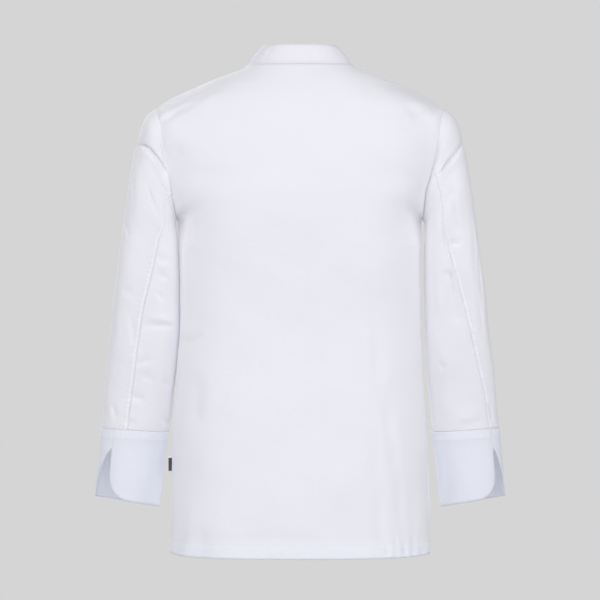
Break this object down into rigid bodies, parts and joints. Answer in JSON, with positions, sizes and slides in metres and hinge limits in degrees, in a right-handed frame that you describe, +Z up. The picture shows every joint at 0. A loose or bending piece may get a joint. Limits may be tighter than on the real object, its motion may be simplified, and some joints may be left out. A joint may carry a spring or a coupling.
{
  "type": "chef jacket",
  "caption": "Long-sleeved double-breasted kitchen work jacket with a stand collar and deep slit cuffs, filled out as worn.",
  "frame": {"origin": "middle of the neck opening, level with the neck ends of the shoulder seams, where the wearer carries the jacket", "axes": "+Z up, -Y out of the wearer's chest, +X to the wearer's left"},
  "size_m": [0.6468, 0.2712, 0.7861],
  "materials": {
    "cloth": "matte white twill",
    "doubled_cloth": "matte white twill, doubled and topstitched",
    "buttons": "satin white",
    "tag": "smooth woven tape"
  },
  "bodies": {
    "root": {"back": "cloth", "front_left": "cloth", "front_right": "cloth", "sleeve_top_left": "cloth", "sleeve_under_left": "cloth", "sleeve_top_right": "cloth", "sleeve_under_right": "cloth", "collar": "doubled_cloth", "cuff_left": "doubled_cloth", "cuff_right": "doubled_cloth", "button_left_1": "buttons", "button_left_2": "buttons", "button_left_3": "buttons", "button_left_4": "buttons", "button_left_5": "buttons", "button_right_1": "buttons", "button_right_2": "buttons", "button_right_3": "buttons", "button_right_4": "buttons", "button_right_5": "buttons", "side_tag": "tag"}
  },
  "joints": []
}
